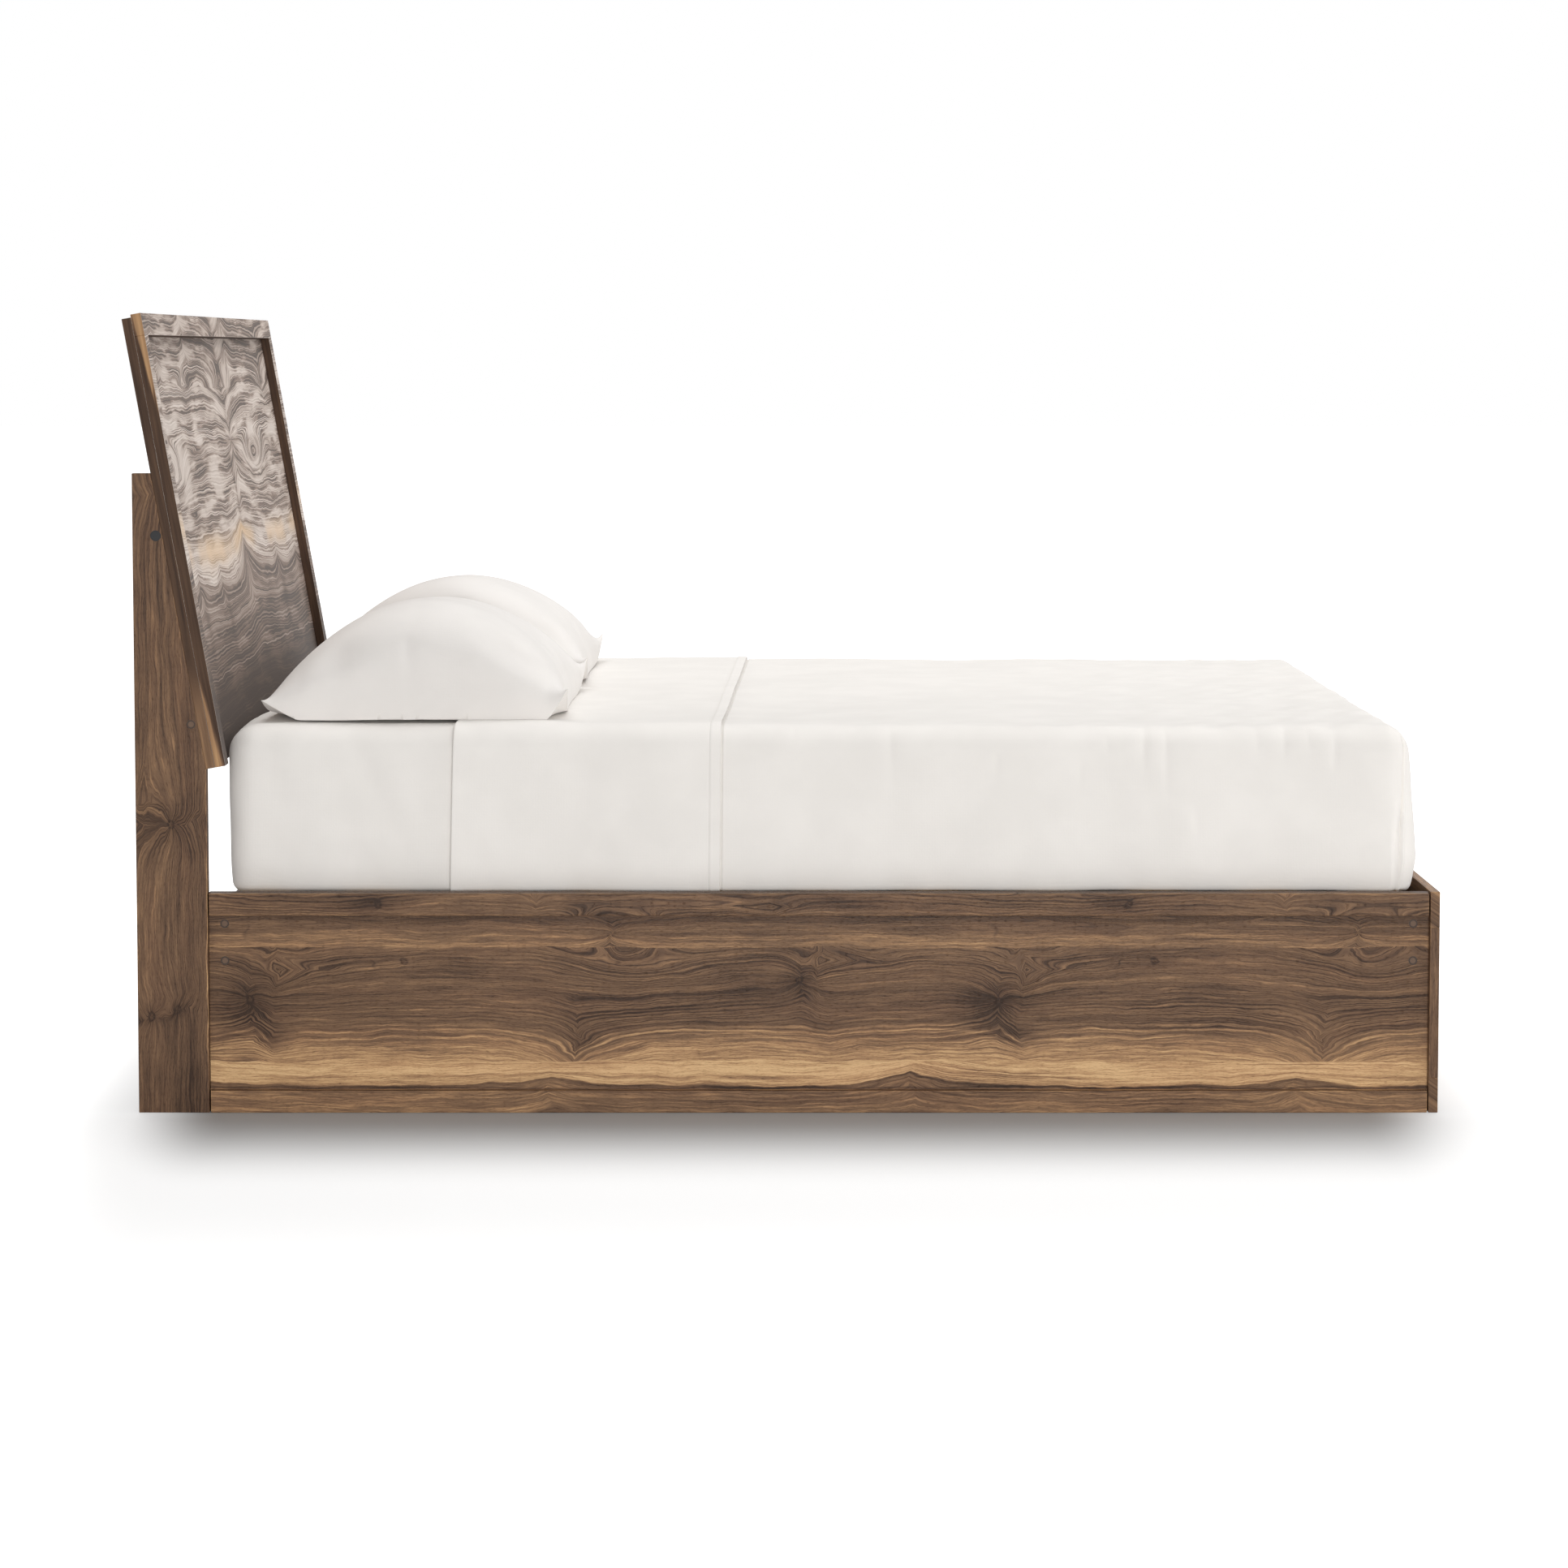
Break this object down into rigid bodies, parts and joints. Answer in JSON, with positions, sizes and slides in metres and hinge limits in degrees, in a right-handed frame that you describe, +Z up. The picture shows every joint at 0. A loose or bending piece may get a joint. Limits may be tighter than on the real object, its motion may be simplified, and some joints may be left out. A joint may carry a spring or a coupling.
{
  "type": "platform storage bed",
  "caption": "Platform storage bed with a tilted panel headboard, closed sides, slatted deck, mattress, pillows and drawers that slide out at the foot end.",
  "frame": {"origin": "on the floor, under the middle of the box that holds the whole bed", "axes": "+X from the head end to the foot end, +Y to the sleeper's left, +Z up"},
  "size_m": [2.2769, 1.626, 1.3698],
  "materials": {
    "walnut": "satin walnut-effect board with a mid-brown figured grain",
    "greige_figured_wood": "matte figured veneer, greige with taupe lines, walnut-brown at the edges",
    "drawer_board": "satin light wood-grain board",
    "frame_pine": "plain sanded softwood",
    "slat_pine": "plain sanded softwood",
    "zinc_steel": "zinc-plated sheet",
    "bearing_steel": "bright",
    "black_fittings": "matte black",
    "black_plastic": "matte black",
    "brown_cap_plastic": "matte dark brown",
    "mattress_fabric": "white cotton sheet over a mattress",
    "pillow_fabric": "white cotton pillowcase"
  },
  "bodies": {
    "bed_frame": {"headboard_panel": "greige_figured_wood", "headboard_top_rail": "greige_figured_wood", "head_cross_rail": "walnut", "corner_blocks": "frame_pine", "centre_beam": "frame_pine", "centre_legs": "frame_pine", "footboard_top_rail": "walnut", "footboard_bottom_rail": "walnut", "footboard_centre_stile": "walnut", "case_partition": "walnut", "case_back": "walnut", "cabinet_slide_channels": "zinc_steel", "panel_cover_caps": "brown_cap_plastic", "black_cover_caps": "black_plastic", "mattress": "mattress_fabric", "left_post": "walnut", "headboard_left_stile": "greige_figured_wood", "left_side_panel": "walnut", "left_top_strip": "walnut", "left_bottom_strip": "walnut", "left_slat_cleat": "frame_pine", "footboard_left_stile": "walnut", "left_case_gable": "walnut", "left_pillow": "pillow_fabric", "right_post": "walnut", "headboard_right_stile": "greige_figured_wood", "right_side_panel": "walnut", "right_top_strip": "walnut", "right_bottom_strip": "walnut", "right_slat_cleat": "frame_pine", "footboard_right_stile": "walnut", "right_case_gable": "walnut", "right_pillow": "pillow_fabric", "slat_01": "slat_pine", "slat_02": "slat_pine", "slat_03": "slat_pine", "slat_04": "slat_pine", "slat_05": "slat_pine", "slat_06": "slat_pine", "slat_07": "slat_pine", "slat_08": "slat_pine", "slat_09": "slat_pine", "slat_10": "slat_pine", "slat_11": "slat_pine"},
    "left_drawer": {"left_drawer_front": "walnut", "left_drawer_outer_side": "drawer_board", "left_drawer_inner_side": "drawer_board", "left_drawer_back": "drawer_board", "left_drawer_bottom": "drawer_board", "left_drawer_pull": "black_fittings", "left_drawer_channels": "zinc_steel"},
    "left_slide_cages": {"left_ball_cages": "bearing_steel"},
    "right_drawer": {"right_drawer_front": "walnut", "right_drawer_outer_side": "drawer_board", "right_drawer_inner_side": "drawer_board", "right_drawer_back": "drawer_board", "right_drawer_bottom": "drawer_board", "right_drawer_pull": "black_fittings", "right_drawer_channels": "zinc_steel"},
    "right_slide_cages": {"right_ball_cages": "bearing_steel"}
  },
  "joints": [
    {"name": "left_drawer_slide", "type": "slide", "parent": "bed_frame", "child": "left_drawer", "axis": [1, 0, 0], "range_m": [0, 0.37]},
    {"name": "left_cage_slide", "type": "slide", "parent": "bed_frame", "child": "left_slide_cages", "axis": [1, 0, 0], "range_m": [0, 0.185]},
    {"name": "right_drawer_slide", "type": "slide", "parent": "bed_frame", "child": "right_drawer", "axis": [1, 0, 0], "range_m": [0, 0.37]},
    {"name": "right_cage_slide", "type": "slide", "parent": "bed_frame", "child": "right_slide_cages", "axis": [1, 0, 0], "range_m": [0, 0.185]}
  ],
  "couplings": [
    {"joint": "left_cage_slide", "follows": "left_drawer_slide", "ratio": 0.5},
    {"joint": "right_cage_slide", "follows": "right_drawer_slide", "ratio": 0.5}
  ]
}
